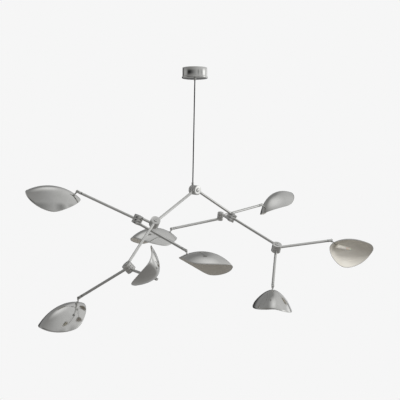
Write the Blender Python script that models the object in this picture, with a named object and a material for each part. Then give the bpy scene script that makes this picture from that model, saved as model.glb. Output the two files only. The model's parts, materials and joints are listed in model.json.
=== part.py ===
"""Ceiling light: eight bent shades on a branching tree of swivelling tubes, hung on one cable.

The origin is the centre of the bracket's top face, where it meets the ceiling. +Z is up.
Every joint has an empty on its axis, and the pieces that it moves are parented to that empty.
Headings are degrees about +Z from +X, and rises are degrees above the horizontal.
"""

import math

import bmesh
import bpy
from mathutils import Matrix, Vector

MM = 0.001
GAP = 0.4 * MM  # left between pieces that meet
OVERLAP = 2 * MM  # how far a joined shape or a cutter runs into the next one

# Canopy
CANOPY_SIDES = 28
CUP_RADIUS = 57 * MM
CUP_WALL = 1.2 * MM
CUP_TOP = -0.3 * MM
CUP_BOTTOM = -41 * MM
PLATE_RADIUS = 60 * MM
PLATE_THICKNESS = 8 * MM
PLATE_LIP_HEIGHT = 6 * MM
PLATE_LIP_WALL = 2.5 * MM
BRACKET_SIZE = (104 * MM, 24 * MM, 3 * MM)
BRACKET_TAB = 16 * MM
BRACKET_HOLE_AT = 30 * MM
BRACKET_HOLE_RADIUS = 2.6 * MM
SCREW_RADIUS = 2 * MM
SCREW_LENGTH = 9 * MM
SCREW_HEIGHT = -12 * MM
ANCHOR_RADIUS = 6 * MM
ANCHOR_BOTTOM = -22 * MM
ANCHOR_BORE = 12 * MM
BLOCK_SIZE = (42 * MM, 16 * MM, 14 * MM)
BLOCK_AT_Y = 15.5 * MM
BLOCK_WIRE_RADIUS = 2 * MM
GRIP_RADIUS = 6.5 * MM
GRIP_TIP_RADIUS = 4.2 * MM
GRIP_LENGTH = 9 * MM
GRIP_THREAD_RADIUS = 4.6 * MM

# Suspension cable
CABLE_RADIUS = 2.75 * MM
CABLE_CLEARANCE = 0.35 * MM
CABLE_STEP = 16 * MM

# Knuckles: three discs on a pin
DISC_RADIUS = 22 * MM
SMALL_DISC_RADIUS = 14.5 * MM
PITCH = 13 * MM
SMALL_PITCH = 12.8 * MM
PIN_RADIUS = 5 * MM
PIN_HOLE_RADIUS = 5.25 * MM
PIN_HEAD_RADIUS = 9 * MM
PIN_HEAD_HEIGHT = 2.6 * MM
DISC_SIDES = 18
PIN_SIDES = 12
STEM_SIDES = 10
HUB_HEIGHT = -567 * MM
SOCKET_RADIUS = 6 * MM
SOCKET_RISE = 34 * MM
SOCKET_DEPTH = 9 * MM

# Tubes
TUBE_RADIUS = 6 * MM
TUBE_BORE = 4.7 * MM
TUBE_SIDES = 12
BORE_SIDES = 8
STRUCTURAL_LENGTH = 290 * MM
LINK_LENGTH = 75 * MM
LAMP_ARM_LENGTH = 300 * MM

# Necks, between a lamp arm and its shade
NECK_RADIUS = 6.5 * MM
NECK_START = 22 * MM
NECK_END = 7.4 * MM
NECK_TAB = 5 * MM
NECK_SPIGOT_RADIUS = 4.3 * MM
NECK_SPIGOT = 12 * MM
CROSS_PIN_RADIUS = 1.6 * MM
CROSS_PIN_HOLE = 1.9 * MM
CROSS_PIN_HEAD = 3.2 * MM

# Lamp holders and lamps
STEM_RISE = 20 * MM
STEM_RADIUS = 3 * MM
STEM_HOLE_RADIUS = 3.6 * MM
STEM_COLLAR_RADIUS = 6 * MM
HOLDER_RADIUS = 12 * MM
HOLDER_START = -88 * MM
HOLDER_LENGTH = 50 * MM
HOLDER_DEPTH = -42 * MM
HOLDER_CUP_RADIUS = 8.6 * MM
HOLDER_CUP_DEPTH = 14 * MM
LAMP_RADIUS = 7.5 * MM
LAMP_LENGTH = 52 * MM

# Shades: an oval sheet bent along its length and, more gently, from end to end
SHADE_HALF_LENGTH = 139 * MM
SHADE_HALF_WIDTH = 125 * MM
SHADE_LENGTHWISE_RADIUS = 197 * MM
SHADE_FOLD_RADIUS = 55 * MM
SHADE_FOLD_HALF_WIDTH = 30 * MM
SHADE_FLANK_RADIUS = 150 * MM
SHADE_REAR_POWER = 0.64  # above 0.5 the end is pointed, at 0.5 it is an oval's end
SHADE_FREE_POWER = 0.43
SHADE_WALL = 1.4 * MM
SHADE_STEM_AT = -0.7  # along the ridge, from -1 at the rear tip to 1 at the free tip
SHADE_SIDES = 26
SHADE_RINGS = 4

# The tree: each knuckle's pin, and each arm as (starts at, level there, ends at, level there, length,
# heading, rise). A level counts discs from the middle of the knuckle, along its pin.
PINS = {
    "hub": (-43, -6),
    "left": (-71, 35),
    "left_upper": (-13, 64),
    "left_lower": (28, -45),
    "right": (1, 57),
    "right_upper": (-74, 68),
    "right_lower": (-74, 57),
}
SMALL_KNUCKLE = "right_upper"
HUB_BLOCK_LEVEL = -1
BRANCHES = {
    "arm_left": ("hub", 0, "left", 0, STRUCTURAL_LENGTH, -136, -31),
    "arm_right": ("hub", 1, "right", 1, STRUCTURAL_LENGTH, 50, -23),
    "arm_left_lower": ("left", 1, "left_lower", -1, STRUCTURAL_LENGTH, -122, -41),
    "arm_right_lower": ("right", 0, "right_lower", 1, STRUCTURAL_LENGTH, -36, -27),
    "link_left": ("left", -1, "left_upper", 1, LINK_LENGTH, 181, 25),
    "link_right": ("right", -1, "right_upper", 1, LINK_LENGTH, 128, 21),
}
# Each lamp arm as (starts at, level there, heading, rise), then how its shade is turned
LAMP_ARMS = {
    1: ("left_upper", 0, 179, 25),
    2: ("right_upper", 0, 44, 11),
    3: ("right_upper", -1, -141, -9),
    4: ("right_lower", 0, 25, 6),
    5: ("right_lower", -1, -97, -31),
    6: ("left_upper", -1, -35, -24),
    7: ("left_lower", 0, 150, -28),
    8: ("left_lower", 1, -66, -5),
}
SHADE_TURNS = {  # yaw, pitch and roll in degrees
    1: (-168, -8, -30),
    2: (54, -26, -17),
    3: (-139, 0, -2),
    4: (32, 11, -48),
    5: (-90, 12, -6),
    6: (-24, 6, -19),
    7: (-137, 23, -16),
    8: (-86, -16, -117),
}

NICKEL = ((0.62, 0.62, 0.60), 0.08, 1.0)
DARK_CABLE = ((0.03, 0.03, 0.03), 0.55, 0.0)
STEEL = ((0.55, 0.55, 0.55), 0.35, 1.0)
PLASTIC = ((0.75, 0.73, 0.68), 0.5, 0.0)
LAMP_GLASS = ((0.92, 0.90, 0.84), 0.15, 0.0)


def clear_scene():
    for old in list(bpy.data.objects):
        bpy.data.objects.remove(old)


def material(name, finish):
    colour, roughness, metallic = finish
    made = bpy.data.materials.new(name)
    made.use_nodes = True
    shader = made.node_tree.nodes["Principled BSDF"]
    shader.inputs["Base Color"].default_value = (*colour, 1)
    shader.inputs["Roughness"].default_value = roughness
    shader.inputs["Metallic"].default_value = metallic
    return made


def direction(heading, rise):
    heading, rise = math.radians(heading), math.radians(rise)
    flat = math.cos(rise)
    return Vector((flat * math.cos(heading), flat * math.sin(heading), math.sin(rise)))


def frame(at, z_axis, x_hint=(1, 0, 0)):
    """A placement at a point, with Z along an axis and X as near as it can be to x_hint."""
    z = Vector(z_axis).normalized()
    x = Vector(x_hint)
    if abs(x.normalized().dot(z)) > 0.95:
        x = Vector((0, 1, 0))
    x = (x - z * x.dot(z)).normalized()
    turn = Matrix((x, z.cross(x), z)).transposed()
    return Matrix.Translation(at) @ turn.to_4x4()


def add_object(name, shape, place, finish=None, smooth=40):
    """Makes an object from a bmesh, with its origin and axes at place."""
    bmesh.ops.recalc_face_normals(shape, faces=shape.faces)
    mesh = bpy.data.meshes.new(name)
    shape.to_mesh(mesh)
    shape.free()
    mesh.shade_smooth()
    mesh.set_sharp_from_angle(angle=math.radians(smooth))
    made = bpy.data.objects.new(name, mesh)
    bpy.context.scene.collection.objects.link(made)
    made.matrix_world = place
    if finish:
        mesh.materials.append(material(name, finish))
    return made


def turned(profile, sides, ring=False):
    """A solid of revolution about Z, from (radius, height) points. Its ends are capped, or, for a ring, the
    outline closes on itself."""
    shape = bmesh.new()
    points = [shape.verts.new((radius, 0, height)) for radius, height in profile]
    edges = [shape.edges.new(pair) for pair in zip(points, points[1:])]
    if ring:
        edges.append(shape.edges.new((points[-1], points[0])))
    bmesh.ops.spin(
        shape, geom=points + edges, cent=(0, 0, 0), axis=(0, 0, 1), angle=math.tau, steps=sides, use_merge=True
    )
    bmesh.ops.holes_fill(shape, edges=shape.edges)
    return shape


def rod(radius, low, high, sides):
    return turned([(radius, low), (radius, high)], sides)


def box(size, centre):
    shape = bmesh.new()
    bmesh.ops.create_cube(shape, size=1)
    bmesh.ops.scale(shape, vec=size, verts=shape.verts)
    bmesh.ops.translate(shape, vec=centre, verts=shape.verts)
    return shape


def combine(owner, operation, shape, place):
    """Joins a shape to an object, or cuts it away, with a Boolean."""
    helper = add_object(f"{owner.name}_{operation.lower()}_{len(owner.modifiers)}", shape, place)
    helper.hide_render = True
    helper.display_type = "WIRE"
    step = owner.modifiers.new(helper.name, "BOOLEAN")
    step.operation = operation
    step.solver = "EXACT"
    step.object = helper


def joint_empty(name, place, parent=None):
    empty = bpy.data.objects.new(name, None)
    bpy.context.scene.collection.objects.link(empty)
    empty.empty_display_size = 0.02
    empty.matrix_world = place
    if parent:
        hold(empty, parent)
    return empty


def hold(child, parent):
    """Parents an object without moving it."""
    bpy.context.view_layer.update()
    place = child.matrix_world.copy()
    child.parent = parent
    child.matrix_parent_inverse = parent.matrix_world.inverted()
    child.matrix_world = place


def disc_size(knuckle):
    """The disc radius and the distance between two discs at a knuckle."""
    if knuckle == SMALL_KNUCKLE:
        return SMALL_DISC_RADIUS, SMALL_PITCH
    return DISC_RADIUS, PITCH


def level_offset(knuckle, level):
    return direction(*PINS[knuckle]) * disc_size(knuckle)[1] * level


def lay_out_tree():
    """Works out where each knuckle is, and each branch's start and end."""
    knuckles = {"hub": Vector((0, 0, HUB_HEIGHT))}
    runs = {}
    for name, (start, start_level, end, end_level, length, heading, rise) in BRANCHES.items():
        first = knuckles[start] + level_offset(start, start_level)
        last = first + direction(heading, rise) * length
        knuckles[end] = last - level_offset(end, end_level)
        runs[name] = (first, last)
    for number, (start, start_level, heading, rise) in LAMP_ARMS.items():
        first = knuckles[start] + level_offset(start, start_level)
        runs[number] = (first, first + direction(heading, rise) * LAMP_ARM_LENGTH)
    return knuckles, runs


def disc(knuckle):
    radius, pitch = disc_size(knuckle)
    half = (pitch - GAP) / 2
    return rod(radius, -half, half, DISC_SIDES)


def pin_hole(knuckle):
    pitch = disc_size(knuckle)[1]
    return rod(PIN_HOLE_RADIUS, -pitch, pitch, PIN_SIDES + 1)


def add_arm(name, run, start, end=None):
    """A hollow tube from one knuckle to the next, brazed into a disc at each knuckle. A lamp arm's far end
    is open, for its neck."""
    first, last = run
    along = last - first
    place = frame(first, direction(*PINS[start]))
    to_place = frame(first, along)
    tube_end = along.length - (disc_size(end)[0] / 2 if end else NECK_START + GAP)
    arm = add_object(name, disc(start), place, NICKEL)
    combine(arm, "UNION", rod(TUBE_RADIUS, disc_size(start)[0] / 2, tube_end, TUBE_SIDES), to_place)
    if end:
        end_place = frame(last, direction(*PINS[end]))
        combine(arm, "UNION", disc(end), end_place)
        combine(arm, "DIFFERENCE", pin_hole(end), end_place)
    combine(arm, "DIFFERENCE", pin_hole(start), place)
    bore_end = along.length if end else along.length - NECK_START + OVERLAP
    combine(arm, "DIFFERENCE", rod(TUBE_BORE, 0, bore_end, BORE_SIDES), to_place)
    return arm


def pin_outline(half):
    """A pin's profile: a shaft with a low domed head past each end disc."""
    head = half + PIN_HEAD_HEIGHT
    rim = half + PIN_HEAD_HEIGHT / 2
    dome = PIN_HEAD_RADIUS * 0.7
    return [
        (dome, -head), (PIN_HEAD_RADIUS, -rim), (PIN_HEAD_RADIUS, -half), (PIN_RADIUS, -half),
        (PIN_RADIUS, half), (PIN_HEAD_RADIUS, half), (PIN_HEAD_RADIUS, rim), (dome, head),
    ]  # fmt: skip


def stack_half(knuckle):
    return disc_size(knuckle)[1] * 1.5 + GAP / 2


def add_pin(knuckle, at):
    return add_object(
        f"pin_{knuckle}", turned(pin_outline(stack_half(knuckle)), PIN_SIDES), frame(at, direction(*PINS[knuckle])), NICKEL
    )


def socket_place(knuckles):
    """Where the cable's socket stands on the hub's own disc."""
    return knuckles["hub"] + level_offset("hub", HUB_BLOCK_LEVEL)


def add_hub_block(at_hub, at_block):
    """The hub's own disc, with the pin that carries both arms and the socket that the cable ends in."""
    pin_axis = direction(*PINS["hub"])
    block = add_object("hub_block", disc("hub"), frame(at_block, pin_axis), NICKEL)
    combine(block, "UNION", turned(pin_outline(stack_half("hub")), PIN_SIDES), frame(at_hub, pin_axis))
    upright = Matrix.Translation(at_block)
    combine(block, "UNION", rod(SOCKET_RADIUS, DISC_RADIUS / 2, SOCKET_RISE, PIN_SIDES), upright)
    mouth = SOCKET_RISE - SOCKET_DEPTH
    bore = rod(CABLE_RADIUS + CABLE_CLEARANCE * 2, mouth, SOCKET_RISE + OVERLAP, PIN_SIDES)
    combine(block, "DIFFERENCE", bore, upright)
    return block


def fold_profile(distance):
    """How far a point on the sheet is out from the ridge, and how far down, after bending across."""
    tight = min(distance, SHADE_FOLD_HALF_WIDTH)
    turn = tight / SHADE_FOLD_RADIUS
    out = SHADE_FOLD_RADIUS * math.sin(turn)
    down = SHADE_FOLD_RADIUS * (1 - math.cos(turn))
    rest = (distance - tight) / SHADE_FLANK_RADIUS
    out += SHADE_FLANK_RADIUS * (math.sin(turn + rest) - math.sin(turn))
    down += SHADE_FLANK_RADIUS * (math.cos(turn) - math.cos(turn + rest))
    return out, down


def ridge_point(along):
    """A point on the ridge and the outward direction there. along runs from -1 to 1."""
    turn = SHADE_HALF_LENGTH * along / SHADE_LENGTHWISE_RADIUS
    outward = Vector((math.sin(turn), 0, math.cos(turn)))
    return SHADE_LENGTHWISE_RADIUS * (outward - Vector((0, 0, 1))), outward


def shade_point(along, across):
    """A point on the shade's outside. The outline's half width falls from the middle to both tips."""
    ridge, outward = ridge_point(along)
    out, down = fold_profile(abs(across))
    return ridge - outward * down + Vector((0, math.copysign(out, across), 0))


def half_width(along):
    power = SHADE_REAR_POWER if along < 0 else SHADE_FREE_POWER
    return SHADE_HALF_WIDTH * max(0, 1 - along * along) ** power


def shade_sheet():
    """The bent sheet as rings of points about its middle."""
    shape = bmesh.new()
    middle = shape.verts.new(shade_point(0, 0))
    inner = None
    for ring in range(1, SHADE_RINGS + 1):
        share = ring / SHADE_RINGS
        loop = []
        for side in range(SHADE_SIDES):
            angle = math.tau * side / SHADE_SIDES
            across = math.copysign(1, math.sin(angle)) * half_width(math.cos(angle))
            loop.append(shape.verts.new(shade_point(share * math.cos(angle), share * across)))
        for here in range(SHADE_SIDES):
            following = (here + 1) % SHADE_SIDES
            if inner:
                shape.faces.new((inner[here], loop[here], loop[following], inner[following]))
            else:
                shape.faces.new((middle, loop[here], loop[following]))
        inner = loop
    return shape


def add_shade(number, place):
    shade = add_object(f"shade_{number}", shade_sheet(), place, NICKEL)
    wall = shade.modifiers.new("wall", "SOLIDIFY")
    wall.thickness = SHADE_WALL
    wall.offset = -1
    seat, outward = ridge_point(SHADE_STEM_AT)
    hole = rod(STEM_HOLE_RADIUS, -STEM_RISE / 2, STEM_RISE / 2, STEM_SIDES)
    combine(shade, "DIFFERENCE", hole, place @ frame(seat, outward))
    return shade


def add_lamp_holder(number, place, tilt_place):
    """An eye on the cross pin, a stem through the shade with a collar above it, and the holder below."""
    seat, outward = ridge_point(SHADE_STEM_AT)
    stem = place @ frame(seat, outward)
    half_eye = NECK_TAB / 2
    eye_at = tilt_place @ Matrix.Translation((0, 0, -half_eye - GAP / 2))
    holder = add_object(f"lamp_holder_{number}", rod(NECK_RADIUS, -half_eye, half_eye, PIN_SIDES), eye_at, NICKEL)
    below = (seat.z - HOLDER_DEPTH) / outward.z
    collar_low = GAP * 2
    collar_high = collar_low + 3 * MM
    neck_low = STEM_RISE - NECK_RADIUS - 1 * MM
    combine(
        holder,
        "UNION",
        turned(
            [
                (STEM_RADIUS, -below), (STEM_RADIUS, collar_low), (STEM_COLLAR_RADIUS, collar_low),
                (STEM_COLLAR_RADIUS, collar_high), (STEM_RADIUS, collar_high), (STEM_RADIUS, neck_low),
            ],
            STEM_SIDES,
        ),
        stem,
    )  # fmt: skip
    web = box((NECK_RADIUS, NECK_TAB, NECK_RADIUS * 2), (0, 0, 0))
    web_at = tilt_place @ Matrix.Translation((0, 0, -half_eye - GAP / 2))
    down_stem = web_at.inverted() @ stem @ Vector((0, 0, neck_low))
    down_stem.z = 0
    web_place = web_at @ frame(down_stem * 0.7, down_stem, (0, 0, 1)) @ Matrix.Rotation(math.pi / 2, 4, "Z")
    combine(holder, "UNION", web, web_place)
    body_place = place @ frame((HOLDER_START, 0, HOLDER_DEPTH), (1, 0, 0), (0, 0, 1))
    cup_floor = HOLDER_LENGTH - HOLDER_CUP_DEPTH
    combine(
        holder,
        "UNION",
        turned(
            [
                (HOLDER_RADIUS - 3 * MM, 0), (HOLDER_RADIUS, 3 * MM), (HOLDER_RADIUS, HOLDER_LENGTH),
                (HOLDER_CUP_RADIUS, HOLDER_LENGTH), (HOLDER_CUP_RADIUS, cup_floor),
            ],
            PIN_SIDES,
        ),
        body_place,
    )  # fmt: skip
    combine(holder, "DIFFERENCE", rod(CROSS_PIN_HOLE, -NECK_RADIUS, NECK_RADIUS, STEM_SIDES), eye_at)
    return holder


def add_lamp(number, place):
    """A capsule lamp: a flat base in the holder's cup, and a tube with a round end."""
    base = LAMP_RADIUS - 1 * MM
    profile = [(base, GAP), (base, HOLDER_CUP_DEPTH - 4 * MM), (LAMP_RADIUS, HOLDER_CUP_DEPTH - 2 * MM)]
    shoulder = LAMP_LENGTH - LAMP_RADIUS
    for step in range(3):
        angle = math.pi / 2 * step / 2.5
        profile.append((LAMP_RADIUS * math.cos(angle), shoulder + LAMP_RADIUS * math.sin(angle)))
    at = Vector((HOLDER_START + HOLDER_LENGTH - HOLDER_CUP_DEPTH, 0, HOLDER_DEPTH))
    return add_object(f"lamp_{number}", turned(profile, STEM_SIDES), place @ frame(at, (1, 0, 0)), LAMP_GLASS)


def add_neck(number, roll_place, tilt_place):
    """A barrel that turns on the end of its arm, with a tab and a cross pin for the shade's stem."""
    barrel_end = NECK_START - NECK_END
    neck = add_object(
        f"neck_{number}",
        turned(
            [
                (NECK_SPIGOT_RADIUS, -NECK_SPIGOT), (NECK_SPIGOT_RADIUS, 0), (NECK_RADIUS, 0),
                (NECK_RADIUS, barrel_end - 1 * MM), (NECK_RADIUS - 1 * MM, barrel_end),
            ],
            PIN_SIDES,
        ),
        roll_place,
        NICKEL,
    )  # fmt: skip
    half_tab = NECK_TAB / 2
    tab_at = tilt_place @ Matrix.Translation((0, 0, half_tab + GAP / 2))
    combine(neck, "UNION", rod(NECK_RADIUS, -half_tab, half_tab, PIN_SIDES), tab_at)
    back = tab_at.inverted() @ roll_place @ Vector((0, 0, barrel_end - OVERLAP))
    back.z = 0
    web = box((back.length, NECK_RADIUS * 1.5, NECK_TAB - GAP), (back.length / 2, 0, 0))
    combine(neck, "UNION", web, tab_at @ Matrix.Rotation(math.atan2(back.y, back.x), 4, "Z"))
    far = NECK_TAB + GAP * 2
    pin = turned(
        [
            (CROSS_PIN_HEAD, -far - 1.5 * MM), (CROSS_PIN_HEAD, -far), (CROSS_PIN_RADIUS, -far),
            (CROSS_PIN_RADIUS, NECK_TAB / 2),
        ],
        BORE_SIDES,
    )  # fmt: skip
    combine(neck, "UNION", pin, tilt_place)
    return neck


def shade_turn(number):
    yaw, pitch, roll = (math.radians(angle) for angle in SHADE_TURNS[number])
    return Matrix.Rotation(yaw, 4, "Z") @ Matrix.Rotation(pitch, 4, "Y") @ Matrix.Rotation(roll, 4, "X")


def add_lamp_end(number, run, arm_joint):
    """A lamp arm's neck, shade, holder and lamp, each on its own joint."""
    end = run[1]
    along = (run[1] - run[0]).normalized()
    turn = shade_turn(number)
    seat, outward = ridge_point(SHADE_STEM_AT)
    stem_axis = turn.to_3x3() @ outward
    tilt_axis = along.cross(stem_axis).normalized()
    place = Matrix.Translation(end - turn @ (seat + outward * STEM_RISE)) @ turn
    roll_place = frame(end - along * NECK_START, along, tilt_axis)
    tilt_place = frame(end, tilt_axis, along)
    roll_joint = joint_empty(f"roll_{number}", roll_place, arm_joint)
    hold(add_neck(number, roll_place, tilt_place), roll_joint)
    tilt_joint = joint_empty(f"tilt_{number}", tilt_place, roll_joint)
    for piece in (add_shade(number, place), add_lamp_holder(number, place, tilt_place), add_lamp(number, place)):
        hold(piece, tilt_joint)


def add_canopy():
    """The cup, its bottom plate, the bracket, the terminal block, the screw and the cable grip."""
    inner = CUP_RADIUS - CUP_WALL
    cup_outline = [(CUP_RADIUS, CUP_TOP), (CUP_RADIUS, CUP_BOTTOM), (inner, CUP_BOTTOM), (inner, CUP_TOP)]
    cup = add_object("canopy_cup", turned(cup_outline, CANOPY_SIDES, ring=True), Matrix(), NICKEL)
    plate_top = CUP_BOTTOM - GAP
    plate_bottom = plate_top - PLATE_THICKNESS
    lip = inner - GAP
    lip_top = plate_top + PLATE_LIP_HEIGHT
    hole = GRIP_THREAD_RADIUS + GAP
    plate_outline = [
        (hole, plate_top), (hole, plate_bottom), (PLATE_RADIUS - 1.5 * MM, plate_bottom),
        (PLATE_RADIUS, plate_bottom + 1.5 * MM), (PLATE_RADIUS, plate_top), (lip, plate_top), (lip, lip_top),
        (lip - PLATE_LIP_WALL, lip_top), (lip - PLATE_LIP_WALL, plate_top),
    ]  # fmt: skip
    add_object("canopy_plate", turned(plate_outline, CANOPY_SIDES, ring=True), Matrix(), NICKEL)
    bracket = add_bracket()
    add_terminal_block()
    add_screw(cup, bracket)
    return add_cable_grip(plate_top, plate_bottom)


def add_bracket():
    """A strap on the ceiling with a tab bent down at each end, two holes for its ceiling screws, and the
    socket in the middle that the cable hangs from."""
    length, width, thickness = BRACKET_SIZE
    bracket = add_object("ceiling_bracket", box(BRACKET_SIZE, (0, 0, -thickness / 2)), Matrix(), STEEL)
    for side in (-1, 1):
        tab_x = side * (length - thickness) / 2
        tab = box((thickness, width, BRACKET_TAB), (tab_x, 0, -BRACKET_TAB / 2 - thickness / 2))
        combine(bracket, "UNION", tab, Matrix())
        at = Matrix.Translation((side * BRACKET_HOLE_AT, 0, 0))
        combine(bracket, "DIFFERENCE", rod(BRACKET_HOLE_RADIUS, -thickness * 2, thickness, PIN_SIDES), at)
    combine(bracket, "UNION", rod(ANCHOR_RADIUS, ANCHOR_BOTTOM, -thickness / 2, PIN_SIDES), Matrix())
    bore = rod(CABLE_RADIUS + CABLE_CLEARANCE, ANCHOR_BOTTOM - OVERLAP, ANCHOR_BOTTOM + ANCHOR_BORE, BORE_SIDES)
    combine(bracket, "DIFFERENCE", bore, Matrix())
    return bracket


def add_terminal_block():
    top = -BRACKET_SIZE[2] - GAP
    size = BLOCK_SIZE
    block = add_object("terminal_block", box(size, (0, BLOCK_AT_Y, top - size[2] / 2)), Matrix(), PLASTIC)
    for step in (-1, 0, 1):
        at = frame((step * size[0] / 3.3, BLOCK_AT_Y, top - size[2] / 2), (0, 1, 0))
        combine(block, "DIFFERENCE", rod(BLOCK_WIRE_RADIUS, -size[1], size[1], BORE_SIDES), at)


def add_screw(cup, bracket):
    """The set screw that holds the cup to one of the bracket's tabs."""
    place = frame((CUP_RADIUS, 0, SCREW_HEIGHT), (1, 0, 0))
    for holder in (cup, bracket):
        clearance = rod(SCREW_RADIUS + GAP / 2, -SCREW_LENGTH * 1.5, SCREW_LENGTH, PIN_SIDES)
        combine(holder, "DIFFERENCE", clearance, place)
    add_object("canopy_screw", rod(SCREW_RADIUS, -SCREW_LENGTH, 0, PIN_SIDES), place, STEEL)


def add_cable_grip(plate_top, plate_bottom):
    """A threaded gland through the plate, which clamps the suspension cable. Returns its lower end."""
    bore = CABLE_RADIUS + CABLE_CLEARANCE
    shoulder = plate_bottom - GAP
    tip = shoulder - GRIP_LENGTH
    outline = [
        (bore, plate_top + 3 * MM), (bore, tip), (GRIP_TIP_RADIUS, tip), (GRIP_RADIUS, tip + 4 * MM),
        (GRIP_RADIUS, shoulder), (GRIP_THREAD_RADIUS, shoulder), (GRIP_THREAD_RADIUS, plate_top + 3 * MM),
    ]  # fmt: skip
    add_object("cable_grip", turned(outline, PIN_SIDES, ring=True), Matrix(), NICKEL)
    return tip


def add_suspension_cable(stops):
    """The cable, pulled straight from each stop to the next by the weight below it."""
    points = [stops[0]]
    for start, end in zip(stops, stops[1:]):
        count = math.ceil((end - start).length / CABLE_STEP)
        points += [start.lerp(end, step / count) for step in range(1, count + 1)]
    curve = bpy.data.curves.new("suspension_cable", "CURVE")
    curve.dimensions = "3D"
    curve.bevel_depth = CABLE_RADIUS
    curve.bevel_resolution = 2
    curve.use_fill_caps = True
    line = curve.splines.new("POLY")
    line.points.add(len(points) - 1)
    for made, point in zip(line.points, points):
        made.co = (*point, 1)
    curve.materials.append(material("suspension_cable", DARK_CABLE))
    cable = bpy.data.objects.new("suspension_cable", curve)
    bpy.context.scene.collection.objects.link(cable)


def main():
    clear_scene()
    knuckles, runs = lay_out_tree()
    at_block = socket_place(knuckles)
    grip_bottom = add_canopy()
    add_suspension_cable(
        [
            Vector((0, 0, ANCHOR_BOTTOM + ANCHOR_BORE - OVERLAP)),
            Vector((0, 0, grip_bottom)),
            at_block + Vector((0, 0, SOCKET_RISE)),
            at_block + Vector((0, 0, SOCKET_RISE - SOCKET_DEPTH + GAP)),
        ]
    )
    joints = {"hub": joint_empty("hub_swivel", Matrix.Translation(at_block))}
    hold(add_hub_block(knuckles["hub"], at_block), joints["hub"])
    for name, branch in BRANCHES.items():
        start, end = branch[0], branch[2]
        joints[end] = joint_empty(f"{name}_pivot", frame(runs[name][0], direction(*PINS[start])), joints[start])
        hold(add_arm(name, runs[name], start, end), joints[end])
        hold(add_pin(end, knuckles[end]), joints[end])
    for number, (start, *_) in LAMP_ARMS.items():
        pivot = joint_empty(f"lamp_arm_{number}_pivot", frame(runs[number][0], direction(*PINS[start])), joints[start])
        hold(add_arm(f"lamp_arm_{number}", runs[number], start), pivot)
        add_lamp_end(number, runs[number], pivot)


main()
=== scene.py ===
"""Ceiling light with eight bent shades on a branching tree of swivelling tubes.

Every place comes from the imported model's joints and boxes. Sizes are metres, and MM turns a maker's
millimetres into them.
"""

from __future__ import annotations

import json
import logging
import math
from dataclasses import dataclass, field
from enum import Enum

import bmesh
import bpy
from bmesh.types import BMesh
from bpy.types import Material, Node, NodeSocket, NodeTree, Object
from mathutils import Matrix, Vector


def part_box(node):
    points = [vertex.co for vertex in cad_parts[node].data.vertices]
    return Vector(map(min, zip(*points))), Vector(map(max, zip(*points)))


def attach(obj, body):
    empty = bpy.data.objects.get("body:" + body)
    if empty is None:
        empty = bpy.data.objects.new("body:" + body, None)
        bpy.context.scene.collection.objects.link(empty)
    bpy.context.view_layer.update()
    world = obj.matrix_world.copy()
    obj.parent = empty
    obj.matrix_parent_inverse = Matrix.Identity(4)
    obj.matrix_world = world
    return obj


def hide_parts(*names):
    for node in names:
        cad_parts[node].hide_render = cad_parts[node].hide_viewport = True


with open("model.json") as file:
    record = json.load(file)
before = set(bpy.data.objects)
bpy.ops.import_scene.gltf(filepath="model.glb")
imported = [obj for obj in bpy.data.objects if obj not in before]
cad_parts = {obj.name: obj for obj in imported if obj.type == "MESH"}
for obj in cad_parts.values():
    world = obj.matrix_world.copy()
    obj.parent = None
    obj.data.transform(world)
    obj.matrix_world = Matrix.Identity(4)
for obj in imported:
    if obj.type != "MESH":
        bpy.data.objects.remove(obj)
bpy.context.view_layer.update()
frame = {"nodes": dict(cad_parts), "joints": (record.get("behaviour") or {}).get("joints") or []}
LOG = logging.getLogger("chandelier")

MM = 0.001
ROUND_STEPS = 48  # sides of a knuckle disc, a pin, a lamp holder or the gland
THIN_STEPS = 28  # sides of a tube, a neck, a stem or a lamp
CANOPY_STEPS = 96  # sides of the canopy's cup and plate
OVERLAP = 1.5 * MM  # how far one brazed shape runs into the next
EASED_ANGLE = math.radians(35)  # edges turned further than this get a bevel
SHARP_ANGLE = math.radians(32)  # edges turned further than this are shaded sharp

Profile = list[tuple[float, float]]


class Slot(Enum):
    """The record's material slots."""

    NICKEL = "nickel"
    PLASTIC = "plastic"
    CABLE = "cable"
    LAMP_GLASS = "lamp_glass"


# ---- Finishes ----


def linear(colour: str) -> tuple[float, float, float, float]:
    """Turns an sRGB hex colour into linear light.

    Args:
        colour: Six hex digits, with or without a leading #.

    Returns:
        Linear red, green, blue and an alpha of 1.
    """
    digits = colour.lstrip("#")
    channels = [int(digits[at : at + 2], 16) / 255 for at in (0, 2, 4)]
    red, green, blue = (c / 12.92 if c <= 0.04045 else ((c + 0.055) / 1.055) ** 2.4 for c in channels)
    return red, green, blue, 1.0


def per_metre(size_mm: float) -> float:
    """Gives a texture scale whose features are about size_mm across."""
    return 1.0 / (size_mm * MM)


def add_node(tree: NodeTree, kind: str, settings: dict | None = None, links: dict | None = None) -> Node:
    """Adds one node.

    Args:
        tree: The material's or the world's node tree.
        kind: The node's type name.
        settings: Attributes to set, or, for a name or number that is an input, the input's value.
        links: Input names or numbers, and the output sockets that feed them.

    Returns:
        The new node.
    """
    node = tree.nodes.new(kind)
    for name, value in (settings or {}).items():
        if isinstance(name, int) or name in node.inputs:
            node.inputs[name].default_value = value
        else:
            setattr(node, name, value)
    for name, source in (links or {}).items():
        tree.links.new(source, node.inputs[name])
    return node


def new_material(name: str, **values: object) -> tuple[Material, NodeTree, NodeSocket]:
    """Makes a Principled material.

    Args:
        name: The material's name.
        **values: The shader's own sockets, with underscores for spaces.

    Returns:
        The material, its nodes, and the object's own coordinates.
    """
    material = bpy.data.materials.new(name)
    material.use_nodes = True
    shader = material.node_tree.nodes["Principled BSDF"]
    for socket, value in values.items():
        shader.inputs[socket.replace("_", " ")].default_value = value
    place = add_node(material.node_tree, "ShaderNodeTexCoord").outputs["Object"]
    return material, material.node_tree, place


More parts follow.
